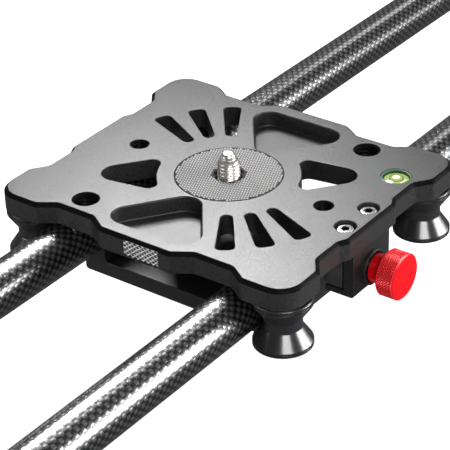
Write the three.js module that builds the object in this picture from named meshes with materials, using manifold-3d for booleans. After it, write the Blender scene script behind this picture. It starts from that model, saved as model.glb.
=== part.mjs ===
// Camera slider: two tubes on end blocks, a roller carriage with a lock, a centre bracket and screw feet.
// Millimetres. X runs along the rods, Y across them, Z up; the feet stand on Z = 0.
import * as THREE from 'three';
import { mergeVertices } from 'three/addons/utils/BufferGeometryUtils.js';
import Module from 'manifold-3d';

const wasm = await Module();
wasm.setup();

// ---- driving dimensions ----
const TOP = 70;                 // height of the carriage plate's top face
const HALF_LENGTH = 400;        // end block's outer face from the middle
const SEG = 24;                 // facets round a large circle
const SMALL_SEG = 12;           // facets round a small circle

const ROD_Y = 42.4, ROD_Z = TOP - 20.4, ROD_R = 10, ROD_BORE_R = 8.5;
const ROD_END = HALF_LENGTH - 3.5;   // rod's end from the middle

const PLATE_T = 9, PLATE_CHAMFER = 1;
const RECESS_R = 22.3, RECESS_DEPTH = 1.1, CENTRE_HOLE_R = 5.6;
const PAD_R = 22, PAD_PROUD = 0.3;
const BIG_THREAD = { x: -47.8, y: 35.4, r: 5 };      // 3/8 inch accessory thread
const SMALL_THREAD = { x: 0, y: 45.9, r: 3.5 };      // 1/4 inch accessory thread
// One quarter of the plate's side wall, from the +X axis round to the +Y axis: [x, y, corner radius].
const PLATE_QUARTER = [[62.3, 17.2, 3], [57.3, 25, 3], [57.3, 42.4, 3], [62.3, 50, 4], [62.3, 71.8, 10.6], [41.2, 71.8, 4],
  [34.3, 66.7, 4], [20.2, 66.7, 2], [16.2, 68.8, 2]];
// Openings as circles [x, y, radius] with a tight outline round them.
const POCKET = [[-48, 13.5, 6.8], [-48, -13.5, 6.8], [-30.3, 0, 7]], POCKET_DEPTH = 7, POCKET_CHAMFER = 0.9;
const TRIANGLE = [[-24, 38.3, 6.6], [-24.3, 22.3, 3.5], [-10.2, 31.5, 3.5]], TRIANGLE_INNER_R = 29.5;
const SLOT = [[34.9, 0, 2.4], [56.6, 1.5, 2.2], [56.6, -1.5, 2.2]], SLOT_ANGLES = [34.5, 50, 65.5];
const COUNTERSINK = 0.6;        // of the threaded holes
const BOLT_HOLE = { r: 3.3, roof: TOP - 3 };         // blind holes for the roller bolts, from below
const GRIP = { outer: 62.3, depth: 0.4, y0: -11.7, y1: 5.1, bottom: TOP - 8.1, top: TOP - 1.4, gap: 0.1 };
const PAD_BORE_R = 6.2;
const SCREW = { shank: 4, shankBottom: TOP - 19.5, thread: 4.75, threadBottom: TOP - 10.4, threadTop: TOP + 6.6,
  lead: 0.5, pilot: 2.9, pilotTop: TOP + 8.9, tip: 1.8, top: TOP + 10 };
const WHEEL = { bore: 4.15, r: 14, bottom: TOP - 19, top: TOP - 11.2 };
const LEVEL = { x: 35.6, y: -57.2, r: 6.4, depth: 5, bore: 5.4, ringTop: TOP - 0.2, vial: 5.3, shoulder: TOP - 1.3,
  crown: 3.2, crownTop: TOP - 0.7, top: TOP - 0.55, gap: 0.05 };
const LOCK_SCREW = { x: 8.3, y: -61.5, bore: 4.4, depth: 4.2, clear: 2.3, shank: 2, head: 3.6, headTop: 3.2, height: 3,
  hex: 3, tapped: 2.1 };

const ROLLER = { x: 50, y: 60.9, flange: 11.8, waist: 7.6, rim: 2.7, waistHalf: 1.9, half: 10.8 };
const ROLLER_Z = TOP - 20.4;    // middle of the roller, level with the rod's axis
const BEARING_R = 5.6, SHOULDER_R = 3.5, RUNNING = 0.09;
const BEARING_INSET = 0.8, BOLT = { head: 5.5, headHeight: 2.5, thread: 3, top: TOP - 3.5, gap: 0.3 };

const BLOCK = { x: 13.2, face: -68.3, wall: -63.7, inner: -55.2, bottom: TOP - 28.6, floor: TOP - 26.3, roof: TOP - 13 };
const KNOB = { z: TOP - 20, r: 9.7, face: -83.7, back: -75.8, neck: 6, neckEnd: -70.3 };
const BOSS = { r: 7.6, face: -70.1, bore: 6.4, boreDepth: 0.4, spindle: 3.3 };
const SHOE = { x: 12.6, front: -55, back: BLOCK.wall + 0.9, gap: 0.2 };
const BRAKE_PAD = { x: 11, back: -54.95, front: -53.5, bottom: TOP - 25.4, top: TOP - 15.4 };
const SPINDLE_R = 3, KNOB_EDGE = 0.7;

const BRACKET = { x: 37.4, y: 47.3, bottom: TOP - 41.8, bar: TOP - 34.9, saddleY: 36.6, saddle: TOP - 28.4 };
const TRIPOD_BOSS = { r: 30, bottom: TOP - 45 };
const BRACKET_SCREW = { x: 26, tube: 2.5, clear: 2.3, bore: 4.2, boreDepth: 4.2, head: 3.7, headInset: 0.4, shank: 2,
  top: ROD_Z - 3 };
const TRIPOD_THREAD_R = 4, PIN_HOLE = { x: 18, r: 2.7 };
const INSERT = { half: BRACKET_SCREW.x + 10, play: 0.1 };

const END = { inner: HALF_LENGTH - 28, top: TOP - 6.9, bottom: TOP - 36 };
const END_BORE_R = 10.1, END_HOLE_X = HALF_LENGTH - 14;
// One side of the end block's outline, from the top round to the underside: [y, z, corner radius].
const END_SIDE = [[52, END.top, 8], [62, TOP - 24, 8], [99, TOP - 27, 3], [99, TOP - 38, 3], [70, TOP - 38, 6],
  [56, END.bottom, 6]];
const END_RECESS = { y: 24, top: TOP - 12, bottom: TOP - 30, corner: 4, depth: 6 };
const END_TRIPOD = { r: 4, depth: 12, inset: 11 };
const PLUG = { depth: 20, cap: 2.6, play: 0.1, hole: 2.6 };
const SET_SCREW = { r: 2.4, hole: 2.5, tube: 2.7, tip: ROD_Z + 5, top: END.top - 0.6, hex: 2.5, socket: 3 };
const FOOT = { y: 86, pad: 13, padTop: 8, padDraft: 1.5, edge: 0.8, neck: 6, wheelBottom: 12, wheelTop: 20, wheel: 9.5,
  thread: 4, lead: 1, top: 56, hole: 4.2 };
const BUMPER = { r: 14, inner: 10.1, length: 9 };

// ---- shape helpers ----
const closed = (geometry) => {
  const bare = geometry.clone();
  bare.deleteAttribute('normal');
  bare.deleteAttribute('uv');
  const g = mergeVertices(bare, 1e-4);
  const p = g.attributes.position, index = Array.from(g.index.array), kept = [];
  for (let i = 0; i < index.length; i += 3) {
    const [a, b, c] = index.slice(i, i + 3);
    if (a !== b && b !== c && a !== c) kept.push(a, b, c);
  }
  const A = new THREE.Vector3(), B = new THREE.Vector3(), C = new THREE.Vector3();
  let volume = 0;
  for (let i = 0; i < kept.length; i += 3) {
    A.fromBufferAttribute(p, kept[i]); B.fromBufferAttribute(p, kept[i + 1]); C.fromBufferAttribute(p, kept[i + 2]);
    volume += A.dot(B.cross(C));
  }
  if (volume < 0) for (let i = 0; i < kept.length; i += 3) [kept[i], kept[i + 1]] = [kept[i + 1], kept[i]];
  g.setIndex(kept);
  return g;
};
const toSolid = (geometry) => {
  const g = closed(geometry);
  return new wasm.Manifold(new wasm.Mesh({
    numProp: 3,
    vertProperties: new Float32Array(g.attributes.position.array),
    triVerts: new Uint32Array(g.index.array),
  }));
};
const fromSolid = (solid) => {
  const mesh = solid.getMesh();
  const g = new THREE.BufferGeometry();
  g.setAttribute('position', new THREE.BufferAttribute(new Float32Array(mesh.vertProperties), 3));
  g.setIndex(new THREE.BufferAttribute(new Uint32Array(mesh.triVerts), 1));
  return g;
};
const cut = (base, ...tools) => fromSolid(tools.reduce((s, t) => s.subtract(toSolid(t)), toSolid(base)));
const join = (...parts) => fromSolid(parts.slice(1).reduce((s, t) => s.add(toSolid(t)), toSolid(parts[0])));

// Polygon whose corners are rounded: each entry is [x, y, radius].
const rounded = (corners, steps = 3) => {
  const out = [];
  corners.forEach(([x, y, r], i) => {
    const v = new THREE.Vector2(x, y);
    if (!r) { out.push(v); return; }
    const a = new THREE.Vector2(...corners.at(i - 1).slice(0, 2)).sub(v).normalize();
    const b = new THREE.Vector2(...corners[(i + 1) % corners.length].slice(0, 2)).sub(v).normalize();
    const half = Math.acos(THREE.MathUtils.clamp(a.dot(b), -1, 1)) / 2;
    const centre = a.clone().add(b).normalize().multiplyScalar(r / Math.sin(half)).add(v);
    const start = a.clone().multiplyScalar(r / Math.tan(half)).add(v).sub(centre);
    const end = b.clone().multiplyScalar(r / Math.tan(half)).add(v).sub(centre);
    let sweep = end.angle() - start.angle();
    if (sweep > Math.PI) sweep -= 2 * Math.PI;
    if (sweep < -Math.PI) sweep += 2 * Math.PI;
    for (let k = 0; k <= steps; k++) {
      out.push(start.clone().rotateAround(new THREE.Vector2(), sweep * k / steps).add(centre));
    }
  });
  return out;
};
// Tight outline round a set of circles [x, y, radius].
const hull = (circles, steps = 16) => {
  const dots = circles.flatMap(([x, y, r]) => Array.from({ length: steps }, (_, k) => {
    const a = 2 * Math.PI * (k + 0.5) / steps;
    return new THREE.Vector2(x + r * Math.cos(a), y + r * Math.sin(a));
  })).sort((p, q) => p.x - q.x || p.y - q.y);
  const chain = (list) => list.reduce((out, p) => {
    while (out.length > 1 && out.at(-1).clone().sub(out.at(-2)).cross(p.clone().sub(out.at(-1))) <= 1e-9) out.pop();
    return [...out, p];
  }, []);
  return [...chain(dots).slice(0, -1), ...chain(dots.reverse()).slice(0, -1)];
};
const prism = (points, z0, z1, options = {}) => new THREE.ExtrudeGeometry(new THREE.Shape(points), {
  depth: z1 - z0, bevelEnabled: false, ...options }).translate(0, 0, z0);
const box = (x0, x1, y0, y1, z0, z1) =>
  new THREE.BoxGeometry(x1 - x0, y1 - y0, z1 - z0).translate((x0 + x1) / 2, (y0 + y1) / 2, (z0 + z1) / 2);
// Turned piece about Z: profile of [radius, height].
const turned = (profile, seg = SEG) =>
  new THREE.LatheGeometry(profile.map(([r, z]) => new THREE.Vector2(r, z)), seg).rotateX(Math.PI / 2);
const ringProfile = (r0, r1, z0, z1) => [[r0, z0], [r1, z0], [r1, z1], [r0, z1], [r0, z0]];
const rod = (r, z0, z1, seg = SMALL_SEG) => turned([[0, z0], [r, z0], [r, z1], [0, z1]], seg);
const alongX = (g) => g.rotateY(Math.PI / 2);
const alongMinusY = (g) => g.rotateX(Math.PI / 2);   // height becomes distance towards -Y
const hexSocket = (across, z0, z1) => new THREE.CylinderGeometry(across / Math.sqrt(3), across / Math.sqrt(3), z1 - z0, 6)
  .rotateX(Math.PI / 2).translate(0, 0, (z0 + z1) / 2);
const turnedHalf = (g) => g.clone().rotateZ(Math.PI);

const finish = {
  anodised: { color: 0x2a2b2e, roughness: 0.55, metalness: 0.6 },
  steel: { color: 0xb9b6ae, roughness: 0.3, metalness: 1 },
  darkSteel: { color: 0x2c2c2e, roughness: 0.35, metalness: 0.9 },
  carbon: { color: 0x1b1c1e, roughness: 0.2, metalness: 0.1 },
  rubber: { color: 0x1d1d1d, roughness: 0.9, metalness: 0 },
  pad: { color: 0x6d6d6c, roughness: 0.8, metalness: 0 },
  gloss: { color: 0x0c0c0d, roughness: 0.12, metalness: 0.2 },
  plastic: { color: 0x17181a, roughness: 0.6, metalness: 0 },
  red: { color: 0xd01420, roughness: 0.25, metalness: 0.6 },
  green: { color: 0x1f4a2c, roughness: 0.3, metalness: 0.1 },
  vial: { color: 0xe6efa8, roughness: 0.08, metalness: 0 },
};
const slider = new THREE.Group();
slider.name = 'camera_slider';
const piece = (name, geometry, look) => {
  const mesh = new THREE.Mesh(closed(geometry), new THREE.MeshStandardMaterial(finish[look]));
  mesh.name = name;
  slider.add(mesh);
};

// ---- carriage plate ----
const plateOutline = () => {
  const mirrorX = PLATE_QUARTER.map(([x, y, r]) => [-x, y, r]).reverse();
  const mirrorY = (list) => list.map(([x, y, r]) => [x, -y, r]).reverse();
  const upper = [...PLATE_QUARTER, ...mirrorX];
  return rounded([...upper, ...mirrorY(upper)], 2);
};
// Long rounded triangle pocket beside the -X edge.
const pocketOutline = () => hull(POCKET);
// Small rounded triangle; its inner side follows a circle about the camera screw.
const smallTriangle = () => cut(through(hull(TRIANGLE)), rod(TRIANGLE_INNER_R, 0, TOP + 2, 64));
const slotOutline = (degrees) => hull(SLOT)
  .map((v) => v.rotateAround(new THREE.Vector2(), THREE.MathUtils.degToRad(degrees)));
const through = (outline) => prism(outline, TOP - PLATE_T - 1, TOP + 1);
const threadHole = ({ x, y, r }) => turned([[0, TOP - PLATE_T - 1], [r, TOP - PLATE_T - 1], [r, TOP - COUNTERSINK],
  [r + COUNTERSINK, TOP], [r + COUNTERSINK, TOP + 1], [0, TOP + 1]], 20).translate(x, y, 0);
const carriagePlate = () => {
  const blank = prism(plateOutline(), TOP - PLATE_T - 1, TOP - PLATE_CHAMFER, { bevelEnabled: true,
    bevelThickness: PLATE_CHAMFER, bevelSize: PLATE_CHAMFER, bevelOffset: -PLATE_CHAMFER, bevelSegments: 1 });
  const tools = [box(-80, 80, -80, 80, TOP - PLATE_T - 5, TOP - PLATE_T)];
  const twice = (g) => tools.push(g, turnedHalf(g));
  twice(prism(pocketOutline(), TOP - POCKET_DEPTH, TOP + 1));
  twice(prism(pocketOutline(), TOP, TOP + 1, { bevelEnabled: true, bevelThickness: POCKET_CHAMFER,
    bevelSize: POCKET_CHAMFER, bevelSegments: 1 }));
  twice(smallTriangle());
  for (const angle of SLOT_ANGLES) twice(through(slotOutline(angle)));
  twice(threadHole(BIG_THREAD));
  twice(threadHole(SMALL_THREAD));
  tools.push(rod(RECESS_R, TOP - RECESS_DEPTH, TOP + 1, 32), rod(CENTRE_HOLE_R, TOP - PLATE_T - 1, TOP, 16));
  tools.push(rod(LEVEL.r, TOP - LEVEL.depth, TOP + 1, 20).translate(LEVEL.x, LEVEL.y, 0));
  for (const x of [-LOCK_SCREW.x, LOCK_SCREW.x]) {
    tools.push(rod(LOCK_SCREW.bore, TOP - LOCK_SCREW.depth, TOP + 1, 16).translate(x, LOCK_SCREW.y, 0));
    tools.push(rod(LOCK_SCREW.clear, TOP - PLATE_T - 1, TOP, 8).translate(x, LOCK_SCREW.y, 0));
  }
  for (const [sx, sy] of [[1, 1], [1, -1], [-1, 1], [-1, -1]]) {
    tools.push(rod(BOLT_HOLE.r, TOP - PLATE_T - 1, BOLT_HOLE.roof, 12).translate(sx * ROLLER.x, sy * ROLLER.y, 0));
  }
  tools.push(box(-GRIP.outer - 1, -GRIP.outer + GRIP.depth + GRIP.gap, GRIP.y0 - GRIP.gap, GRIP.y1 + GRIP.gap,
    GRIP.bottom - GRIP.gap, GRIP.top + GRIP.gap));
  return cut(blank, ...tools);
};

piece('carriage_plate', carriagePlate(), 'anodised');
piece('edge_grip', box(-GRIP.outer, -GRIP.outer + GRIP.depth, GRIP.y0, GRIP.y1, GRIP.bottom, GRIP.top), 'anodised');
piece('camera_pad', turned(ringProfile(PAD_BORE_R, PAD_R, TOP - RECESS_DEPTH, TOP + PAD_PROUD), 32), 'pad');

// camera screw: 3/8 inch thread with a rounded pilot tip, turned by a wheel under the plate
piece('camera_screw', turned([[0, SCREW.shankBottom], [SCREW.shank, SCREW.shankBottom],
  [SCREW.shank, SCREW.threadBottom - 0.6], [SCREW.thread, SCREW.threadBottom], [SCREW.thread, SCREW.threadTop],
  [SCREW.thread - SCREW.lead, SCREW.threadTop + SCREW.lead], [SCREW.pilot, SCREW.threadTop + SCREW.lead],
  [SCREW.pilot, SCREW.pilotTop], [SCREW.tip, SCREW.top - 0.2], [0, SCREW.top]], 16), 'steel');
piece('camera_screw_wheel', turned(ringProfile(WHEEL.bore, WHEEL.r, WHEEL.bottom, WHEEL.top), SEG), 'anodised');

// bubble level
const atLevel = (g) => g.translate(LEVEL.x, LEVEL.y, 0);
const levelFloor = TOP - LEVEL.depth + LEVEL.gap;
piece('level_ring', atLevel(turned(ringProfile(LEVEL.bore, LEVEL.r - 0.08, levelFloor, LEVEL.ringTop), 20)), 'green');
piece('level_vial', atLevel(turned([[0, levelFloor], [LEVEL.vial, levelFloor], [LEVEL.vial, LEVEL.shoulder],
  [LEVEL.crown, LEVEL.crownTop], [0, LEVEL.top]], 20)), 'vial');

// ---- rollers, their bearings and shoulder bolts ----
const corners = { near_left: [-1, -1], near_right: [1, -1], far_left: [-1, 1], far_right: [1, 1] };
const rollerProfile = () => {
  const { flange, waist, rim, waistHalf, half } = ROLLER, bore = BEARING_R + 0.05;
  return [[bore, -half], [flange, -half], [flange, -half + rim], [waist, -waistHalf], [waist, waistHalf],
    [flange, half - rim], [flange, half], [bore, half], [bore, -half]].map(([r, z]) => [r, ROLLER_Z + z]);
};
for (const [corner, [sx, sy]] of Object.entries(corners)) {
  const place = (g) => g.translate(sx * ROLLER.x, sy * ROLLER.y, 0);
  piece(`roller_${corner}`, place(turned(rollerProfile(), SEG)), 'gloss');
  piece(`roller_bearing_${corner}`, place(turned(ringProfile(SHOULDER_R + RUNNING, BEARING_R,
    ROLLER_Z - ROLLER.half + BEARING_INSET, ROLLER_Z + ROLLER.half - BEARING_INSET), 16)), 'steel');
  const seat = ROLLER_Z - ROLLER.half - BOLT.gap, shoulder = TOP - PLATE_T - 0.1;
  const bolt = turned([[0, seat - BOLT.headHeight], [BOLT.head, seat - BOLT.headHeight], [BOLT.head, seat],
    [SHOULDER_R, seat], [SHOULDER_R, shoulder], [BOLT.thread, shoulder], [BOLT.thread, BOLT.top], [0, BOLT.top]], SMALL_SEG);
  piece(`roller_bolt_${corner}`, place(bolt), 'darkSteel');
}

// ---- lock: fixed block, two screws, sliding shoe with its pad, spindle and knob ----
const lockBlock = () => {
  // section across the rods, read as [y, z], run along X
  const roofZ = TOP - PLATE_T - 0.05;
  const section = [[BLOCK.inner, roofZ], [BLOCK.inner, BLOCK.roof], [BLOCK.wall, BLOCK.roof], [BLOCK.wall, BLOCK.floor],
    [BLOCK.inner, BLOCK.floor], [BLOCK.inner, BLOCK.bottom + 0.6], [BLOCK.inner - 0.6, BLOCK.bottom],
    [BLOCK.face + 0.6, BLOCK.bottom], [BLOCK.face, BLOCK.bottom + 0.6], [BLOCK.face, roofZ]];
  const body = new THREE.ExtrudeGeometry(new THREE.Shape(section.map(([y, z]) => new THREE.Vector2(y, z))),
    { depth: 2 * BLOCK.x, bevelEnabled: false })
    .applyMatrix4(new THREE.Matrix4().makeBasis(new THREE.Vector3(0, 1, 0), new THREE.Vector3(0, 0, 1),
      new THREE.Vector3(1, 0, 0))).translate(-BLOCK.x, 0, 0);
  const ring = alongMinusY(rod(BOSS.r, -BLOCK.face - 1, -BOSS.face, SEG)).translate(0, 0, KNOB.z);
  const mouth = alongMinusY(rod(BOSS.bore, -BLOCK.face - BOSS.boreDepth, -BOSS.face + 1, SEG)).translate(0, 0, KNOB.z);
  const bore = alongMinusY(rod(BOSS.spindle, -BLOCK.wall - 1, -BLOCK.face + 1, SMALL_SEG)).translate(0, 0, KNOB.z);
  const screwHole = (x) => rod(LOCK_SCREW.tapped, BLOCK.roof - 1, TOP, 12).translate(x, LOCK_SCREW.y, 0);
  return cut(join(body, ring), mouth, bore, screwHole(-LOCK_SCREW.x), screwHole(LOCK_SCREW.x));
};
piece('lock_block', lockBlock(), 'anodised');
for (const [side, x] of [['left', -LOCK_SCREW.x], ['right', LOCK_SCREW.x]]) {
  const seat = TOP - LOCK_SCREW.depth + 0.05;
  const { shank, head, headTop, height, hex } = LOCK_SCREW, edge = head - headTop;
  const screw = cut(turned([[0, BLOCK.roof + 0.3], [shank, BLOCK.roof + 0.3], [shank, seat], [head, seat],
    [head, seat + height - edge], [headTop, seat + height], [0, seat + height]], SMALL_SEG),
    hexSocket(hex, seat + 1, seat + height + 1));
  piece(`lock_screw_${side}`, screw.translate(x, LOCK_SCREW.y, 0), 'steel');
}
piece('brake_shoe', box(-SHOE.x, SHOE.x, SHOE.back, SHOE.front, BLOCK.floor + SHOE.gap, BLOCK.roof - SHOE.gap), 'plastic');
piece('brake_pad', box(-BRAKE_PAD.x, BRAKE_PAD.x, BRAKE_PAD.back, BRAKE_PAD.front, BRAKE_PAD.bottom, BRAKE_PAD.top), 'rubber');
piece('lock_spindle', alongMinusY(rod(SPINDLE_R, -(BLOCK.wall + 0.85), -KNOB.neckEnd - 0.05, SMALL_SEG)).translate(0, 0, KNOB.z), 'steel');
piece('lock_knob', alongMinusY(turned([[0, -KNOB.neckEnd], [KNOB.neck, -KNOB.neckEnd], [KNOB.neck, -KNOB.back],
  [KNOB.r, -KNOB.back], [KNOB.r, -KNOB.face - KNOB_EDGE], [KNOB.r - KNOB_EDGE, -KNOB.face], [0, -KNOB.face]], SEG)).translate(0, 0, KNOB.z), 'red');

// ---- rods with their middle inserts, end plugs, set screws and bumpers ----
const drill = (r, x, y, z0, z1) => rod(r, z0, z1, 12).translate(x, y, 0);
const tube = (y) => {
  const blank = alongX(turned(ringProfile(ROD_BORE_R, ROD_R, -ROD_END, ROD_END), SEG)).translate(0, y, ROD_Z);
  const holes = [];
  for (const s of [-1, 1]) {
    holes.push(drill(SET_SCREW.tube, s * END_HOLE_X, y, ROD_Z, ROD_Z + ROD_R + 1));
    holes.push(drill(BRACKET_SCREW.tube, s * BRACKET_SCREW.x, y, ROD_Z - ROD_R - 1, ROD_Z));
  }
  return cut(blank, ...holes);
};
for (const [side, sy] of [['near', -1], ['far', 1]]) {
  const y = sy * ROD_Y;
  piece(`rod_${side}`, tube(y), 'carbon');
  const insert = alongX(rod(ROD_BORE_R - INSERT.play, -INSERT.half, INSERT.half, 16)).translate(0, y, ROD_Z);
  const insertHole = (s) => drill(BRACKET_SCREW.clear, s * BRACKET_SCREW.x, y, ROD_Z - ROD_BORE_R - 0.5, ROD_Z - 1);
  piece(`rod_insert_${side}`, cut(insert, insertHole(-1), insertHole(1)), 'steel');
  for (const [end, sx] of [['left', -1], ['right', 1]]) {
    const plugR = ROD_BORE_R - PLUG.play, capR = ROD_R - PLUG.play, capSeat = ROD_END + PLUG.play;
    const plug = alongX(turned([[0, ROD_END - PLUG.depth], [plugR, ROD_END - PLUG.depth], [plugR, capSeat],
      [capR, capSeat], [capR, ROD_END + PLUG.cap], [0, ROD_END + PLUG.cap]], 16));
    if (sx < 0) plug.rotateZ(Math.PI);
    const plugHole = drill(PLUG.hole, sx * END_HOLE_X, y, SET_SCREW.tip - 1, ROD_Z + ROD_R);
    piece(`rod_plug_${side}_${end}`, cut(plug.translate(0, y, ROD_Z), plugHole), 'plastic');
    const setScrew = cut(rod(SET_SCREW.r, SET_SCREW.tip, SET_SCREW.top), hexSocket(SET_SCREW.hex, END.top - SET_SCREW.socket, END.top));
    piece(`set_screw_${side}_${end}`, setScrew.translate(sx * END_HOLE_X, y, 0), 'darkSteel');
    const bumper = alongX(turned(ringProfile(BUMPER.inner, BUMPER.r, 0, BUMPER.length), SEG));
    if (sx > 0) bumper.rotateZ(Math.PI);
    piece(`bumper_${side}_${end}`, bumper.translate(sx * (END.inner - 0.05), y, ROD_Z), 'rubber');
  }
}

// ---- end blocks ----
const acrossX = (outline, x0, x1) => prism(outline, x0, x1).applyMatrix4(new THREE.Matrix4().makeBasis(
  new THREE.Vector3(0, 1, 0), new THREE.Vector3(0, 0, 1), new THREE.Vector3(1, 0, 0)));
const endBlock = (sx) => {
  const outline = rounded([...END_SIDE, ...END_SIDE.map(([y, z, r]) => [-y, z, r]).reverse()], 4);
  const x0 = Math.min(sx * END.inner, sx * HALF_LENGTH), x1 = Math.max(sx * END.inner, sx * HALF_LENGTH);
  const tools = [];
  for (const sy of [-1, 1]) {
    tools.push(alongX(rod(END_BORE_R, x0 - 1, x1 + 1, SEG)).translate(0, sy * ROD_Y, ROD_Z));
    tools.push(drill(SET_SCREW.hole, sx * END_HOLE_X, sy * ROD_Y, ROD_Z, END.top + 1));
    tools.push(rod(FOOT.hole, TOP - 40, TOP - 20, 16).translate(sx * END_HOLE_X, sy * FOOT.y, 0));
  }
  // weight-saving recess in the outer face and a tripod thread under the middle
  const { y, top, bottom, corner, depth } = END_RECESS, floor = HALF_LENGTH - depth;
  const recess = rounded([[y, top, corner], [y, bottom, corner], [-y, bottom, corner], [-y, top, corner]], 4);
  tools.push(acrossX(recess, sx > 0 ? floor : -HALF_LENGTH - 1, sx > 0 ? HALF_LENGTH + 1 : -floor));
  tools.push(rod(END_TRIPOD.r, END.bottom - 1, END.bottom + END_TRIPOD.depth, SMALL_SEG)
    .translate(sx * (END.inner + END_TRIPOD.inset), 0, 0));
  return cut(acrossX(outline, x0, x1), ...tools);
};
piece('end_block_left', endBlock(-1), 'anodised');
piece('end_block_right', endBlock(1), 'anodised');

// ---- feet: rubber pad and threaded stem with a knurled wheel ----
for (const [corner, [sx, sy]] of Object.entries(corners)) {
  const place = (g) => g.translate(sx * END_HOLE_X, sy * FOOT.y, 0);
  piece(`foot_pad_${corner}`, place(turned([[0, 0], [FOOT.pad - FOOT.edge, 0], [FOOT.pad, FOOT.edge],
    [FOOT.pad - FOOT.padDraft, FOOT.padTop], [0, FOOT.padTop]], 20)), 'rubber');
  piece(`foot_screw_${corner}`, place(turned([[0, FOOT.padTop + 0.1], [FOOT.neck, FOOT.padTop + 0.1],
    [FOOT.neck, FOOT.wheelBottom], [FOOT.wheel, FOOT.wheelBottom], [FOOT.wheel, FOOT.wheelTop], [FOOT.thread, FOOT.wheelTop],
    [FOOT.thread, FOOT.top - FOOT.lead], [FOOT.thread - FOOT.lead, FOOT.top], [0, FOOT.top]], 16)), 'steel');
}

// ---- centre bracket under the rods, with its screws ----
const bracket = () => {
  const half = [[BRACKET.y, BRACKET.saddle, 0.8], [BRACKET.y, BRACKET.bottom, 2], [-BRACKET.y, BRACKET.bottom, 2],
    [-BRACKET.y, BRACKET.saddle, 0.8], [-BRACKET.saddleY, BRACKET.saddle, 0.6], [-BRACKET.saddleY, BRACKET.bar, 0.6],
    [BRACKET.saddleY, BRACKET.bar, 0.6], [BRACKET.saddleY, BRACKET.saddle, 0.6]];
  const bar = acrossX(rounded(half, 2), -BRACKET.x, BRACKET.x);
  const boss = rod(TRIPOD_BOSS.r, TRIPOD_BOSS.bottom, BRACKET.bottom + 1, SEG);
  const upright = (r, seg) => rod(r, TRIPOD_BOSS.bottom - 1, BRACKET.bar + 1, seg);
  const tools = [upright(TRIPOD_THREAD_R, 20), upright(PIN_HOLE.r, SMALL_SEG).translate(-PIN_HOLE.x, 0, 0),
    upright(PIN_HOLE.r, SMALL_SEG).translate(PIN_HOLE.x, 0, 0)];
  for (const sy of [-1, 1]) {
    tools.push(alongX(rod(END_BORE_R, -BRACKET.x - 1, BRACKET.x + 1, SEG)).translate(0, sy * ROD_Y, ROD_Z));
    for (const sx of [-1, 1]) {
      const x = sx * BRACKET_SCREW.x, y = sy * ROD_Y;
      tools.push(drill(BRACKET_SCREW.clear, x, y, BRACKET.bottom - 1, ROD_Z - 8));
      tools.push(rod(BRACKET_SCREW.bore, BRACKET.bottom - 1, BRACKET.bottom + BRACKET_SCREW.boreDepth, SMALL_SEG)
        .translate(x, y, 0));
    }
  }
  return cut(join(bar, boss), ...tools);
};
piece('centre_bracket', bracket(), 'anodised');
for (const [corner, [sx, sy]] of Object.entries(corners)) {
  const { head, headInset, shank, top } = BRACKET_SCREW, low = BRACKET.bottom + headInset;
  const screw = turned([[0, low], [head, low], [head, low + head], [shank, low + head], [shank, top], [0, top]], SMALL_SEG);
  piece(`bracket_screw_${corner}`, screw.translate(sx * BRACKET_SCREW.x, sy * ROD_Y, 0), 'darkSteel');
}

export default slider;
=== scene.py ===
"""Camera slider: the looks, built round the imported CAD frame. Metres in Blender; helpers take millimetres."""

import math

import bmesh
import bpy
from mathutils import Matrix, Vector


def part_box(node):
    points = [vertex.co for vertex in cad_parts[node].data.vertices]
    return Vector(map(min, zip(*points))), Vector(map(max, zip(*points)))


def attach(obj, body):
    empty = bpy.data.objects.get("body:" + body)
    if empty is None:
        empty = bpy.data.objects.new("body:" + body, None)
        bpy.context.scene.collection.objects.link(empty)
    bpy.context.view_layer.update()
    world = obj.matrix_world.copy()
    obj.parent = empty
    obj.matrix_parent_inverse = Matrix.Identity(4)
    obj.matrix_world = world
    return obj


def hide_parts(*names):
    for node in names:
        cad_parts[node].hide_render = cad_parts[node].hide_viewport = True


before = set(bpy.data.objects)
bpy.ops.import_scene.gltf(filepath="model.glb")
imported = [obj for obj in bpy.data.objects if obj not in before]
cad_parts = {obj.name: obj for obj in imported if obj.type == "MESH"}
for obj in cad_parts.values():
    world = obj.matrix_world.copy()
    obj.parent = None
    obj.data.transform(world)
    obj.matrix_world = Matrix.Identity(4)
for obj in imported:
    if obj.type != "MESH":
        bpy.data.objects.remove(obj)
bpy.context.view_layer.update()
MM = 0.001


def low(node):
    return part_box(node)[0] / MM


def high(node):
    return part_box(node)[1] / MM


def middle(node):
    return (low(node) + high(node)) / 2


TOP, PLATE_BOTTOM = high("carriage_plate").z, low("carriage_plate").z
CORNERS = ("near_left", "near_right", "far_left", "far_right")
SIDES = (("near", -1), ("far", 1))
ENDS = (("left", -1), ("right", 1))

ROD = middle("rod_near")
ROD_Y = abs(ROD.y)
ROD_R = (high("rod_near").z - low("rod_near").z) / 2
ROD_END = high("rod_near").x
ROD_WALL = 1.5
ROD_BORE = 10.12                       # radius of the holes and saddles that hold a rod
TOWS_ROUND, TOW_LENGTH = 36, 2.05      # weave cells round the tube, cell length along it
END_X = abs(middle("set_screw_near_left").x)
BRACKET_SCREW_X = middle("bracket_screw_near_right").x
FOOT_Y = middle("foot_screw_far_left").y
KNURL_DEPTH = 0.42


# ---------------------------------------------------------------- flat outlines, in millimetres


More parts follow.
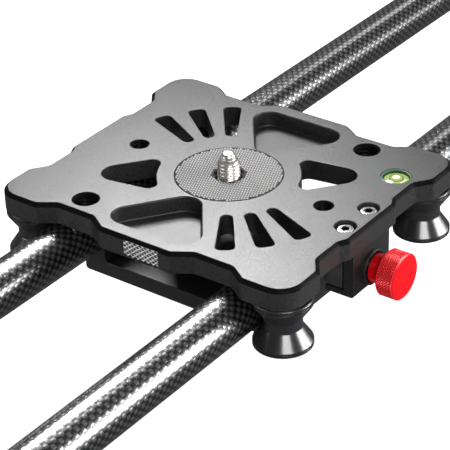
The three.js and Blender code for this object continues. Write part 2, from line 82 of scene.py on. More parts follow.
def rounded(corners, steps):
    """Closed loop through corners (x, y, radius), each corner rounded by its radius."""
    out = []
    for i, (x, y, r) in enumerate(corners):
        v = Vector((x, y))
        if not r:
            out.append(v)
            continue
        a = (Vector(corners[i - 1][:2]) - v).normalized()
        b = (Vector(corners[(i + 1) % len(corners)][:2]) - v).normalized()
        half = math.acos(max(-1, min(1, a.dot(b)))) / 2
        centre = v + (a + b).normalized() * r / math.sin(half)
        start = v + a * r / math.tan(half) - centre
        end = v + b * r / math.tan(half) - centre
        sweep = math.atan2(start.x * end.y - start.y * end.x, start.dot(end))
        out += [centre + Matrix.Rotation(sweep * k / steps, 2) @ start for k in range(steps + 1)]
    return out


def circle(r, x=0, y=0, steps=64):
    turn = 2 * math.pi / steps
    return [Vector((x + r * math.cos(turn * k), y + r * math.sin(turn * k))) for k in range(steps)]


def cross(a, b):
    return a.x * b.y - a.y * b.x


def hull(circles, steps):
    """Tight outline round circles (x, y, radius)."""
    dots = sorted((p for x, y, r in circles for p in circle(r, x, y, steps)), key=lambda p: (p.x, p.y))

    def chain(points):
        out = []
        for p in points:
            while len(out) > 1 and cross(out[-1] - out[-2], p - out[-1]) <= 1e-9:
                out.pop()
            out.append(p)
        return out[:-1]

    return chain(dots) + chain(dots[::-1])


def offset(loop, inwards):
    """The loop moved towards its inside."""
    out = []
    for i, p in enumerate(loop):
        a = (p - loop[i - 1]).normalized()
        b = (loop[(i + 1) % len(loop)] - p).normalized()
        n = Vector((-a.y - b.y, a.x + b.x))
        out.append(p + n * inwards / (1 + a.dot(b)))
    return out


# ---------------------------------------------------------------- mesh building


def to_mesh(bm, name, place):
    """Ends a bmesh made in millimetres: faces outwards, at its place, in metres."""
    bmesh.ops.recalc_face_normals(bm, faces=bm.faces[:])
    bm.transform(Matrix.Scale(MM, 4) @ place)
    data = bpy.data.meshes.new(name)
    bm.to_mesh(data)
    bm.free()
    return data


def add(name, data):
    obj = bpy.data.objects.new(name, data)
    bpy.context.scene.collection.objects.link(obj)
    return obj


def shade(obj, crease):
    """Smooth shading, sharp where faces meet at more than crease degrees."""
    obj.data.shade_smooth()
    obj.data.set_sharp_from_angle(angle=math.radians(crease))
    obj.modifiers.new("even_shading", "WEIGHTED_NORMAL").keep_sharp = True


def finished(bm, name, body, materials, replaces, place=None, crease=40):
    """Turns a bmesh in millimetres into a piece that rides on a body."""
    data = to_mesh(bm, name, place or Matrix.Identity(4))
    for material in materials if isinstance(materials, list) else [materials]:
        data.materials.append(material)
    obj = add(name, data)
    shade(obj, crease)
    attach(obj, body)
    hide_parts(replaces)
    return obj


def ring(bm, loop, z):
    return [bm.verts.new((p.x, p.y, z)) for p in loop]


def skin(bm, rings, index=0):
    for a, b in zip(rings, rings[1:]):
        for i in range(len(a)):
            bm.faces.new((a[i - 1], a[i], b[i], b[i - 1])).material_index = index


def cap(bm, rings, index=0):
    pairs = [(loop[i - 1], loop[i]) for loop in rings for i in range(len(loop))]
    edges = [bm.edges.get(pair) or bm.edges.new(pair) for pair in pairs]
    made = bmesh.ops.triangle_fill(bm, use_beauty=True, edges=edges)
    for g in made["geom"]:
        if isinstance(g, bmesh.types.BMFace):
            g.material_index = index


CHAMFER = ((0, 1.15), (0.04, 1.0), (0.15, 0.86), (0.86, 0.15), (1.0, 0.04), (1.15, 0))
ROUND = tuple((1 - math.cos(math.radians(a)), 1 - math.sin(math.radians(a))) for a in (0, 18, 36, 54, 72, 90))


def opening(rings, floor=False, index=0):
    """A hole for milled: rings (loop, z) from the top face down, floor True if blind, material number."""
    return rings, floor, index


def hole(loop, z0, z1, size, floor=False):
    """A hole whose mouths are rounded by size."""
    top = [(offset(loop, -size * inset), z1 - size * drop) for inset, drop in reversed(ROUND)]
    foot = [(loop, z0)] if floor else [(offset(loop, -size * i), z0 + size * d) for i, d in ROUND]
    return opening(top + foot, floor)


def milled(bm, outline, z0, z1, edge, foot, holes=(), shape=ROUND, chamfer=0):
    """A flat solid with holes and broken edges; chamfer is the material number of the upper edge."""
    sides = [ring(bm, offset(outline, foot * i), z0 + foot * d) for i, d in reversed(ROUND)]
    upper = [ring(bm, offset(outline, edge * i), z1 - edge * d) for i, d in shape]
    skin(bm, sides + upper[:1])
    skin(bm, upper, chamfer)
    tops, bottoms = [upper[-1]], [sides[0]]
    for loops, floor, index in holes:
        rings = [ring(bm, loop, z) for loop, z in loops]
        skin(bm, rings, index)
        tops.append(rings[0])
        if floor:
            cap(bm, [rings[-1]], index)
        else:
            bottoms.append(rings[-1])
    cap(bm, tops)
    cap(bm, bottoms)


def lathe(bm, profile, steps=96, radius=None):
    """Turned surface about Z through (r, z) points, from the axis to the axis or closed on itself.
    radius(r, z, angle) may change the radius, for knurls and threads."""
    rows = []
    for r, z in profile:
        if r < 1e-6:
            rows.append([bm.verts.new((0, 0, z))] * steps)
            continue
        row = []
        for k in range(steps):
            a = 2 * math.pi * k / steps
            q = radius(r, z, a) if radius else r
            row.append(bm.verts.new((q * math.cos(a), q * math.sin(a), z)))
        rows.append(row)
    if (Vector(profile[0]) - Vector(profile[-1])).length < 1e-6 and profile[0][0] > 1e-6:
        for v in rows[-1]:
            bm.verts.remove(v)
        rows[-1] = rows[0]
    for a, b in zip(rows, rows[1:]):
        for i in range(steps):
            corners = list(dict.fromkeys((a[i - 1], a[i], b[i], b[i - 1])))
            if len(corners) > 2:
                bm.faces.new(corners)


def fillet(profile, closed=False, steps=5):
    """(r, z, rounding) corners to (r, z) points; the ends of an open profile stay sharp."""
    if closed:
        points = [tuple(p) for p in rounded(profile, steps)]
        return points + points[:1]
    ends = [(*profile[0][:2], 0), *profile[1:-1], (*profile[-1][:2], 0)]
    return [tuple(p) for p in rounded(ends, steps)]


def fine(profile, step):
    """Extra points, no further apart than step."""
    out = [profile[0]]
    for a, b in zip(profile, profile[1:]):
        n = max(1, math.ceil(math.hypot(b[0] - a[0], b[1] - a[1]) / step))
        out += [(a[0] + (b[0] - a[0]) * k / n, a[1] + (b[1] - a[1]) * k / n) for k in range(1, n + 1)]
    return out


def saw(t):
    """0 at whole numbers, 1 half way."""
    return 1 - abs(2 * (t % 1) - 1)


def thread_cut(z, a, pitch):
    """0 on a thread's crest and 1 at its root, at height z and angle a."""
    return 1 - saw(z / pitch - a / (2 * math.pi))


def tooth_cut(a, teeth):
    """0 on a tooth and 1 between two, at angle a."""
    return 1 - saw(teeth * a / (2 * math.pi))


ACROSS_X = Matrix(((0, 0, 1, 0), (1, 0, 0, 0), (0, 1, 0, 0), (0, 0, 0, 1)))   # Z runs along X


def along_x(y=0, z=0):
    return Matrix.Translation((0, y, z)) @ ACROSS_X


def along_minus_y(z=0):
    return Matrix.Translation((0, 0, z)) @ Matrix.Rotation(math.radians(90), 4, "X")


def at(x, y, z=0):
    return Matrix.Translation((x, y, z))


def cut(obj, *cutters):
    """Takes cutters away from obj for good; each cutter is (profile, place) of a turned shape in millimetres,
    or (profile, place, sides)."""
    obj.modifiers.clear()
    for profile, place, *sides in cutters:
        bm = bmesh.new()
        lathe(bm, profile, *(sides or [48]))
        tool = add("cutter", to_mesh(bm, "cutter", place))
        mod = obj.modifiers.new("hole", "BOOLEAN")
        mod.object, mod.operation, mod.solver = tool, "DIFFERENCE", "EXACT"
        bpy.context.view_layer.update()
        result = bpy.data.meshes.new_from_object(obj.evaluated_get(bpy.context.evaluated_depsgraph_get()))
        obj.modifiers.clear()
        obj.data = result
        bpy.data.objects.remove(tool)
    shade(obj, 35)


def peg(r, z0, z1):
    return [(0, z0), (r, z0), (r, z1), (0, z1)]


def box_cutter(x0, x1, y0, y1, z0, z1):
    """A square peg stretched to the box."""
    stretch = Matrix.Diagonal(((x1 - x0) / 2, (y1 - y0) / 2, 1, 1)) @ Matrix.Rotation(math.pi / 4, 4, "Z")
    return peg(math.sqrt(2), z0, z1), at((x0 + x1) / 2, (y0 + y1) / 2) @ stretch, 4


def turned(name, profile, body, material, place=None, replaces=None,
           steps=96, radius=None, crease=40):
    bm = bmesh.new()
    lathe(bm, profile, steps, radius)
    return finished(bm, name, body, material, replaces, place, crease)


# ---------------------------------------------------------------- materials


class Look:
    """A small builder for one material's nodes."""

    def __init__(self, name):
        self.material = bpy.data.materials.new(name)
        self.material.use_nodes = True
        self.nodes, self.links = self.material.node_tree.nodes, self.material.node_tree.links
        self.shader = self.nodes["Principled BSDF"]
        self.place = self.nodes.new("ShaderNodeTexCoord").outputs["Object"]

    def feed(self, target, value):
        """Links a socket, or sets a plain value."""
        if isinstance(value, bpy.types.NodeSocket):
            self.links.new(value, target)
        else:
            target.default_value = value

    def put(self, socket, value):
        self.feed(self.shader.inputs[socket], value)
        return self

    def axes(self):
        split = self.nodes.new("ShaderNodeSeparateXYZ")
        self.links.new(self.place, split.inputs[0])
        return split.outputs

    def math(self, kind, *values):
        node = self.nodes.new("ShaderNodeMath")
        node.operation = kind
        for target, value in zip(node.inputs, values):
            self.feed(target, value)
        return node.outputs[0]

    def line(self, value, factor, add):
        """value * factor + add"""
        return self.math("ADD", self.math("MULTIPLY", value, factor), add)

    def noise(self, size_mm, detail=3, rough=0.6, stretch=(1, 1, 1)):
        """Noise between 0 and 1 with features about size_mm across."""
        mapping = self.nodes.new("ShaderNodeMapping")
        mapping.inputs["Scale"].default_value = stretch
        self.links.new(self.place, mapping.inputs["Vector"])
        node = self.nodes.new("ShaderNodeTexNoise")
        node.inputs["Scale"].default_value = 1000 / size_mm
        node.inputs["Detail"].default_value = detail
        node.inputs["Roughness"].default_value = rough
        self.links.new(mapping.outputs[0], node.inputs["Vector"])
        return node.outputs["Fac"]

    def between(self, value, from_low, from_high, to_low, to_high):
        node = self.nodes.new("ShaderNodeMapRange")
        self.feed(node.inputs["Value"], value)
        self.feed(node.inputs["From Min"], from_low)
        self.feed(node.inputs["From Max"], from_high)
        self.feed(node.inputs["To Min"], to_low)
        self.feed(node.inputs["To Max"], to_high)
        return node.outputs["Result"]

    def colours(self, value, a, b):
        """Colour a where value is 0 and b where it is 1."""
        node = self.nodes.new("ShaderNodeMix")
        node.data_type = "RGBA"
        self.links.new(value, node.inputs[0])
        for target, colour in ((node.inputs[6], a), (node.inputs[7], b)):
            self.feed(target, colour if isinstance(colour, bpy.types.NodeSocket) else (*colour, 1))
        return node.outputs[2]

    def bump(self, height, depth_mm, socket="Normal"):
        node = self.nodes.new("ShaderNodeBump")
        node.inputs["Distance"].default_value = depth_mm * MM
        self.links.new(height, node.inputs["Height"])
        self.links.new(node.outputs[0], self.shader.inputs[socket])


def blasted(name, dark, light, roughness, ior, depth, size):
    """Bead-blasted and anodised aluminium."""
    look = Look(name)
    grain = look.noise(size, 2, 0.8)
    cloud = look.noise(14, 3, 0.5)
    tone = look.between(grain, 0.3, 0.7, 0, 1)
    look.put("Base Color", look.colours(tone, dark, light))
    mixed = look.line(cloud, 0.08, look.math("MULTIPLY", tone, 0.26))
    look.put("Roughness", look.math("ADD", mixed, roughness - 0.17))
    look.put("IOR", ior).put("Metallic", 0.05)
    look.bump(grain, depth)
    return look.material


def polished(name, colour, roughness):
    """Machined metal with fine turning marks."""
    look = Look(name)
    marks = look.noise(0.35, 4, 0.7, (1, 1, 12))
    smear = look.noise(6, 3, 0.5)
    worn = tuple(c * 0.82 for c in colour)
    look.put("Base Color", look.colours(smear, colour, worn)).put("Metallic", 1.0)
    look.put("Roughness", look.line(marks, 0.16, roughness - 0.08))
    look.bump(marks, 0.006)
    return look.material


def rubbery(name, colour, roughness, size):
    """Dull rubber or plastic with some dust."""
    look = Look(name)
    grain = look.noise(size, 4, 0.65)
    dust = look.noise(9, 4, 0.6)
    pale = tuple(c * 1.6 + 0.01 for c in colour)
    look.put("Base Color", look.colours(look.between(dust, 0.35, 0.75, 0, 1), colour, pale))
    look.put("Roughness", look.line(grain, 0.2, roughness - 0.1))
    look.put("Specular IOR Level", 0.35)
    look.bump(grain, 0.03)
    return look.material


def lacquered(name, colour, roughness):
    """Glossy black turning under lacquer."""
    look = Look(name)
    marks = look.noise(0.3, 3, 0.6, (1, 1, 9))
    look.put("Base Color", look.colours(look.noise(8, 3), colour, tuple(c * 1.7 for c in colour)))
    look.put("Roughness", look.line(marks, 0.10, roughness - 0.05))
    look.put("Specular IOR Level", 0.7).put("Coat Weight", 0.3).put("Coat Roughness", 0.16)
    look.bump(marks, 0.006)
    return look.material


def carbon():
    """Plain-weave carbon tube under clear lacquer."""
    look = Look("carbon_weave")
    x, y, z = look.axes()
    out = look.math("SUBTRACT", look.math("ABSOLUTE", y), ROD_Y * MM)
    up = look.math("SUBTRACT", z, ROD.z * MM)
    turn = look.math("ARCTAN2", up, out)
    u = look.math("ADD", look.math("MULTIPLY", x, 1000 / TOW_LENGTH), 1000)
    v = look.math("MULTIPLY", look.math("ADD", turn, 2 * math.pi), TOWS_ROUND / (2 * math.pi))
    parity = look.math("MODULO", look.math("ADD", look.math("FLOOR", u), look.math("FLOOR", v)), 2)
    across_u = look.math("PINGPONG", u, 0.5)
    across_v = look.math("PINGPONG", v, 0.5)
    hill_u = look.math("SQRT", look.math("MULTIPLY", across_u, 2))
    hill_v = look.math("SQRT", look.math("MULTIPLY", across_v, 2))
    arch = look.math("MULTIPLY", hill_u, hill_v)
    fibre_x = look.noise(0.18, 2, 0.5, (0.15, 1, 1))
    fibre_y = look.noise(0.18, 2, 0.5, (1, 0.2, 0.2))
    fibre = look.between(parity, 0, 1, fibre_x, fibre_y)
    tone = look.between(parity, 0, 1, look.math("MULTIPLY", fibre, 0.12), look.math("ADD", fibre, 0.45))
    edge = look.between(arch, 0.1, 0.45, 0.45, 1)
    tone = look.math("MULTIPLY", tone, edge)
    look.put("Base Color", look.colours(tone, (0.004, 0.004, 0.004), (0.16, 0.16, 0.165)))
    look.put("Metallic", 0.85).put("Roughness", look.between(parity, 0, 1, 0.34, 0.27))
    height = look.math("ADD", arch, look.math("MULTIPLY", fibre, 0.25))
    look.bump(height, 0.08)
    look.bump(height, 0.012, socket="Coat Normal")
    look.put("Coat Weight", 1.0).put("Coat Roughness", 0.21).put("Coat IOR", 1.6)
    return look.material


def pad_rubber(name, dark, light, roughness, gloss):
    look = Look(name)
    grain = look.noise(0.25, 3, 0.6)
    look.put("Base Color", look.colours(look.noise(7, 3), dark, light))
    look.put("Roughness", look.line(grain, 0.2, roughness))
    look.put("Specular IOR Level", gloss)
    look.bump(grain, 0.02)
    return look.material


def knob_red(knob, radius):
    """Red anodising, with a painted highlight on the crests of the knurl and painted shade between them."""
    look = Look("knob_red")
    grain = look.noise(0.22, 3, 0.6)
    cloud = look.noise(5, 3)
    x, _, z = look.axes()
    up = look.math("SUBTRACT", z, knob.z * MM)
    out = look.math("SQRT", look.math("ADD", look.math("POWER", x, 2), look.math("POWER", up, 2)))
    # painted shade and highlight: from the knurl's root to its crest the rim colour runs from dark red (painted
    # shade) to bright red (painted highlight)
    groove = look.between(out, (radius - KNURL_DEPTH) * MM, (radius - 0.1) * MM, 0, 1)
    rim = look.colours(groove, (0.26, 0.002, 0.004), (0.90, 0.030, 0.038))
    face = look.colours(cloud, (0.54, 0.001, 0.004), (0.66, 0.002, 0.007))
    on_rim = look.math("GREATER_THAN", out, (radius - 0.5) * MM)
    look.put("Base Color", look.colours(on_rim, face, rim))
    look.put("Metallic", 0.25).put("Specular IOR Level", 0.35)
    look.put("Roughness", look.line(grain, 0.12, 0.20))
    look.bump(grain, 0.008)
    return look.material


def vial_liquid():
    look = Look("level_liquid")
    look.put("Base Color", look.colours(look.noise(3, 2), (0.20, 0.26, 0.07), (0.28, 0.34, 0.11)))
    look.put("Roughness", look.between(look.noise(1.5, 2), 0, 1, 0.05, 0.12))
    look.put("Coat Weight", 0.5)
    return look.material


def level_green():
    look = Look("level_green")
    look.put("Base Color", look.colours(look.noise(2, 3), (0.006, 0.05, 0.018), (0.012, 0.08, 0.03)))
    look.put("Roughness", look.between(look.noise(0.3, 3), 0, 1, 0.25, 0.4))
    return look.material


def level_mark(name, colour, roughness):
    look = Look(name)
    look.put("Base Color", look.colours(look.noise(1, 2), colour, tuple(c * 1.15 for c in colour)))
    look.put("Roughness", look.between(look.noise(0.5, 2), 0, 1, roughness, roughness + 0.1))
    return look.material


# ---------------------------------------------------------------- the plate

PLATE_QUARTER = ((62.3, 17.2, 3), (57.3, 25, 3), (57.3, 42.4, 3), (62.3, 50, 4), (62.3, 71.8, 10.6),
                 (41.2, 71.8, 4), (34.3, 66.7, 4), (20.2, 66.7, 2), (16.2, 68.8, 2))
PLATE_CHAMFER = 1.4
PAD_R, RECESS_R, RECESS_DEPTH, CENTRE_HOLE = 22, 22.2, 1.1, 5.6
POCKET_FLOOR = TOP - 7
POCKET = ((-48, 13.5, 6.8), (-48, -13.5, 6.8), (-30.3, 0, 7))
TRIANGLE_CORNERS = ((-24, 38.3, 6.6), (-24.3, 22.3, 3.5), (-10.2, 31.5, 3.5))
TRIANGLE_INNER_R = 29.5
SLOT = ((34.9, 0, 2.4), (56.6, 1.5, 2.2), (56.6, -1.5, 2.2))
SLOT_ANGLES = (34.5, 50, 65.5)
BIG_THREAD, SMALL_THREAD = (-47.8, 35.4, 5, 1.6), (0, 45.9, 3.5, 1.27)   # x, y, radius, pitch
LEVEL = (middle("level_ring").x, middle("level_ring").y)
LEVEL_HOLE, LEVEL_HOLE_DEPTH = 6.4, 5
LOCK_SCREW_Y = middle("lock_screw_left").y
LOCK_SCREW_X = middle("lock_screw_right").x
COUNTERBORE, COUNTERBORE_FLOOR, LOCK_SCREW_HOLE = 4.4, TOP - 4.2, 2.3
ROLLER_BOLT_HOLE, ROLLER_BOLT_TOP = 3.3, TOP - 3


def mirrored(quarter):
    left = [(-x, y, r) for x, y, r in reversed(quarter)]
    upper = list(quarter) + left
    return upper + [(x, -y, r) for x, y, r in reversed(upper)]


def anticlockwise(loop):
    area = sum(cross(loop[i - 1], loop[i]) for i in range(len(loop)))
    return loop if area > 0 else loop[::-1]


def dense(loop, step):
    """The loop with extra points along its long sides."""
    out = []
    for a, b in zip(loop, loop[1:] + loop[:1]):
        n = max(1, math.ceil((b - a).length / step))
        out += [a.lerp(b, k / n) for k in range(n)]
    return out


def softened(loop):
    """The loop with its sharp meetings rounded a little."""
    for _ in range(2):
        loop = [(loop[i - 1] + loop[i] * 2 + loop[(i + 1) % len(loop)]) / 4 for i in range(len(loop))]
    return loop


def small_triangle():
    """Rounded triangle whose inner side is part of a circle about the camera screw."""
    loop = dense(anticlockwise(hull(TRIANGLE_CORNERS, 96)), 0.4)
    outside = [p.length > TRIANGLE_INNER_R for p in loop]
    start = next(i for i in range(len(loop)) if outside[i] and not outside[i - 1])
    kept = [p for p in loop[start:] + loop[:start] if p.length > TRIANGLE_INNER_R]
    a, b = (math.atan2(p.y, p.x) % (2 * math.pi) for p in (kept[-1], kept[0]))
    steps = 14
    turns = [a + (b - a) * k / steps for k in range(steps + 1)]
    arc = [Vector((math.cos(turn), math.sin(turn))) * TRIANGLE_INNER_R for turn in turns]
    return softened(kept + arc)


def slot_loop(degrees):
    turn = Matrix.Rotation(math.radians(degrees), 2)
    return anticlockwise([turn @ p for p in hull(SLOT, 48)])


def threaded(x, y, r, pitch):
    """A tapped hole through the plate, with a countersunk mouth."""
    depth, mouth, steps = 0.45, 0.6, 48
    start = TOP - mouth - 0.06
    rings = [(circle(r + mouth + 0.12, x, y, steps), TOP), (circle(r + mouth, x, y, steps), TOP - 0.06),
             (circle(r, x, y, steps), start)]
    rows = round((TOP - mouth - PLATE_BOTTOM) / (pitch / 6))
    for k in range(1, rows + 1):
        z = start - (start - PLATE_BOTTOM) * k / rows
        loop = []
        for i in range(steps):
            a = 2 * math.pi * i / steps
            q = r - depth * saw(z / pitch - i / steps) * min(1, k / 6)
            loop.append(Vector((x + q * math.cos(a), y + q * math.sin(a))))
        rings.append((loop, z))
    return opening(rings, index=1)


def pocket(turn):
    loop = anticlockwise([p * turn for p in hull(POCKET, 96)])
    chamfer, fillet_r = 0.5, 0.8
    mouth = [(offset(loop, -chamfer * a), TOP - chamfer * b) for a, b in
             ((1.1, 0), (1.0, 0.05), (0.5, 0.45), (0.05, 0.95), (0, 1.1))]
    foot = [(offset(loop, fillet_r * a), POCKET_FLOOR + fillet_r * b) for a, b in
            ((0, 1), (0.08, 0.6), (0.3, 0.3), (0.6, 0.08), (1, 0))]
    return opening(mouth + foot, floor=True)


def plate_holes():
    """Every hole of the plate; those off its middle come twice, the second turned by half a turn."""
    halves = (1, -1)
    holes = [pocket(turn) for turn in halves]
    for loop in [small_triangle()] + [slot_loop(angle) for angle in SLOT_ANGLES]:
        holes += [hole(anticlockwise([p * turn for p in loop]), PLATE_BOTTOM, TOP, 0.35) for turn in halves]
    for x, y, r, pitch in (BIG_THREAD, SMALL_THREAD):
        holes += [threaded(x * turn, y * turn, r, pitch) for turn in halves]
    recess = circle(RECESS_R, 0, 0, 96)
    centre = circle(CENTRE_HOLE, 0, 0, 96)
    step = TOP - RECESS_DEPTH
    holes.append(opening([(offset(recess, -0.2), TOP), (recess, TOP - 0.2), (recess, step),
                          (offset(centre, -0.3), step), (centre, step - 0.3), (centre, PLATE_BOTTOM)]))
    holes.append(hole(circle(LEVEL_HOLE, *LEVEL), TOP - LEVEL_HOLE_DEPTH, TOP, 0.2, floor=True))
    for x in (-LOCK_SCREW_X, LOCK_SCREW_X):
        bore = circle(COUNTERBORE, x, LOCK_SCREW_Y, 48)
        clear = circle(LOCK_SCREW_HOLE, x, LOCK_SCREW_Y, 48)
        holes.append(opening([(offset(bore, -0.25), TOP), (bore, TOP - 0.25), (bore, COUNTERBORE_FLOOR),
                              (clear, COUNTERBORE_FLOOR), (clear, PLATE_BOTTOM)]))
    return holes


def carriage_plate(finish, edge_painted_shade):
    bm = bmesh.new()
    outline = anticlockwise(rounded(mirrored(PLATE_QUARTER), 10))
    milled(bm, outline, PLATE_BOTTOM, TOP, PLATE_CHAMFER, 0.25, plate_holes(), shape=CHAMFER, chamfer=1)
    # the second finish, on the chamfer, is painted shade: darker than the top and walls
    plate = finished(bm, "plate_top_and_walls", "carriage", [finish, edge_painted_shade], "carriage_plate",
                     crease=28)
    for end, _ in ENDS:
        for side, _ in SIDES:
            c = middle("roller_" + side + "_" + end)
            cut(plate, (peg(ROLLER_BOLT_HOLE, PLATE_BOTTOM - 1, ROLLER_BOLT_TOP), at(c.x, c.y)))
    lo, hi = low("edge_grip"), high("edge_grip")
    room = 0.02
    cut(plate, box_cutter(lo.x - 2, hi.x, lo.y - room, hi.y + room, lo.z - room, hi.z + room))


def edge_grip(finish, ridges):
    """Diamond-cut patch let into the -X wall: dark pits between bright ridges."""
    lo, hi = low("edge_grip"), high("edge_grip")
    across, tall = 2.5, 2.0            # diamond size along Y and up Z
    steps = 8
    cols, rows = round((hi.y - lo.y) / across * steps), round((hi.z - lo.z) / tall * steps)
    bm = bmesh.new()
    grid = []
    for j in range(rows + 1):
        row = []
        for i in range(cols + 1):
            a, b = i / steps, j / steps
            ridge = min(saw(a + b), saw(a - b))
            x = lo.x + 0.5 * min(1, ridge * 1.4)
            row.append(bm.verts.new((x, lo.y + (hi.y - lo.y) * i / cols, lo.z + (hi.z - lo.z) * j / rows)))
        grid.append(row)
    for j in range(rows):
        for i in range(cols):
            a, b = (i + 0.5) / steps, (j + 0.5) / steps
            face = bm.faces.new((grid[j][i], grid[j][i + 1], grid[j + 1][i + 1], grid[j + 1][i]))
            face.material_index = 1 if min(saw(a + b), saw(a - b)) < 0.30 else 0
    rim = [grid[0][i] for i in range(cols + 1)] + [grid[j][-1] for j in range(1, rows + 1)]
    rim += [grid[-1][i] for i in range(cols - 1, -1, -1)] + [grid[j][0] for j in range(rows - 1, 0, -1)]
    back = [bm.verts.new((hi.x, v.co.y, v.co.z)) for v in rim]
    skin(bm, [rim, back])
    bm.faces.new(back)
    finished(bm, "knurled_edge_patch", "carriage", [finish, ridges], "edge_grip", crease=50)


def camera_pad(finish, studs):
    """Rubber disc with staggered rows of small studs, turned 45 degrees to the rods."""
    inner, bottom, base = 6.2, TOP - 1.05, high("camera_pad").z - 0.3
    disc = fillet([(inner, bottom, 0.1), (PAD_R, bottom, 0.1), (PAD_R, base, 0.4), (inner, base, 0.3)],
                  closed=True)
    turned("pad_disc", disc, "carriage", finish, replaces="camera_pad")
    bm = bmesh.new()
    pitch, row_step, foot, head, tall = 1.15, 1.40, 0.50, 0.32, 0.30
    stud = ((foot, -0.02), (foot * 0.9, tall * 0.5), (head, tall * 0.95))
    reach = round(PAD_R / pitch) + 1
    turn = Matrix.Rotation(math.radians(-45), 2)
    for i in range(-reach, reach + 1):
        for j in range(-reach, reach + 1):
            p = turn @ Vector(((i + 0.5 * (j % 2)) * pitch, j * row_step))
            if inner + 0.9 < p.length < PAD_R - 0.55:
                rings = [ring(bm, [v + p for v in circle(r, 0, 0, 8)], base + z) for r, z in stud]
                skin(bm, rings)
                bm.faces.new(rings[0])
                bm.faces.new(rings[-1])
    finished(bm, "pad_studs", "carriage", studs, "camera_pad", crease=60)


# ---------------------------------------------------------------- camera screw and its wheel


def camera_screw(finish, anodised):
    pitch, depth, r = 1.5875, 0.75, 4.75
    top, below = TOP + 6.6, 10.2       # where the thread ends, and how far under the plate's top it starts
    rows = [(r, TOP - below + k * pitch / 12) for k in range(int((top - TOP + below) / pitch * 12))]

    def shape(q, z, a):
        if q != r:
            return q
        fade = min(1, (top - z) / 1.2, (z - TOP + 10.4) / 1.2)
        return r - depth * thread_cut(z, a, pitch) * 0.96 - (1 - max(0, fade)) * 0.35

    profile = [(0, TOP - 19.5), (3.6, TOP - 19.5), (4, TOP - 19.1), (4, TOP - 11)] + rows
    tip = fillet([(3.9, top + 0.3, 0), (3.0, top + 0.75, 0.3), (2.9, top + 2.1, 0.9), (2.1, top + 3.1, 0.9),
                  (0, top + 3.35, 0)])
    turned("screw_thread", profile + tip, "camera_screw", finish, replaces="camera_screw",
           steps=72, radius=shape, crease=50)
    lo, hi = low("camera_screw_wheel"), high("camera_screw_wheel")
    teeth, ridge, wheel, hub = 70, 0.5, 14, 4.15

    def grip(q, z, a):
        return q - ridge * tooth_cut(a, teeth) if q > wheel - 0.5 else q

    body = fillet([(hub, lo.z, 0.3), (wheel, lo.z, 0.9), (wheel, hi.z, 0.9), (hub, hi.z, 0.3)], closed=True)
    turned("screw_wheel_ring", body, "camera_screw", anodised,
           replaces="camera_screw_wheel", steps=teeth * 6, radius=grip)


# ---------------------------------------------------------------- bubble level


def bubble_level(green, liquid, mark, air):
    x, y = LEVEL
    place = at(x, y)
    z0, z1 = low("level_ring").z, high("level_ring").z
    inner, outer = 5.42, 6.32
    cup = fillet([(inner, z0, 0.1), (outer, z0, 0.1), (outer, z1, 0.25), (inner, z1, 0.2)], closed=True)
    turned("level_cup", cup, "carriage", green, place, "level_ring")
    dome = fillet([(0, z0, 0), (5.3, z0, 0.2), (5.3, TOP - 1.35, 0.5), (3.6, TOP - 0.8, 2),
                   (0, TOP - 0.6, 0)])
    turned("level_dome", dome, "carriage", liquid, place, "level_vial")
    line = fillet([(2.55, TOP - 0.95, 0.02), (2.95, TOP - 0.95, 0.02), (2.95, TOP - 0.66, 0.06),
                   (2.55, TOP - 0.64, 0.06)], closed=True, steps=3)
    turned("level_circle_line", line, "carriage", mark, place, "level_vial", 48)
    bubble = fillet([(0, TOP - 0.9, 0), (1.5, TOP - 0.86, 0.2), (1.4, TOP - 0.56, 0.3), (0, TOP - 0.46, 0)],
                    steps=4)
    turned("level_bubble", bubble, "carriage", air, at(x + 0.5, y + 0.4), "level_vial", 40)


# ---------------------------------------------------------------- rollers


def rollers(gloss, steel, dark):
    for corner in CORNERS:
        roller, bearing = "roller_" + corner, "roller_bearing_" + corner
        c = middle(roller)
        place = at(c.x, c.y)
        z0, z1 = low(roller).z, high(roller).z
        mid = (z0 + z1) / 2
        flange, waist, bore, rim, neck = high(roller).x - c.x, 7.6, 5.65, 2.7, 1.9
        groove = [(flange, 1.5, 0.08), (flange - 0.4, 1.65, 0.08), (flange - 0.4, 1.95, 0.08),
                  (flange, 2.1, 0.08)]
        profile = [(bore, z0, 0.3), (flange - 1.2, z0, 0.3), (flange, z0 + 0.8, 0.4)]
        profile += [(r, z0 + z, turn_r) for r, z, turn_r in groove]
        profile += [(flange, z0 + rim, 0.4), (waist, mid - neck, 1.2), (waist, mid + neck, 1.2),
                    (flange, z1 - rim, 0.4)]
        profile += [(r, z1 - z, turn_r) for r, z, turn_r in reversed(groove)]
        profile += [(flange, z1 - 0.5, 0.4), (flange - 0.5, z1, 0.2), (bore, z1, 0.3)]
        turned("roller_shell_" + corner, fillet(profile, closed=True), roller, gloss, place,
               roller, 128)
        b0, b1 = low(bearing).z, high(bearing).z
        race = fillet([(3.6, b0, 0.15), (4.3, b0, 0.1), (4.35, b0 + 0.25, 0.1), (4.95, b0 + 0.25, 0.1),
                       (5, b0, 0.1), (5.58, b0, 0.15), (5.58, b1, 0.15), (3.6, b1, 0.15)],
                      closed=True, steps=3)
        turned("bearing_race_" + corner, race, roller, steel, place, bearing, 64)
        roller_bolt(corner, place, steel, dark)


def hexagon(across, per_side=8):
    points = circle(across / math.sqrt(3), steps=6)
    return [points[k].lerp(points[(k + 1) % 6], i / per_side) for k in range(6) for i in range(per_side)]


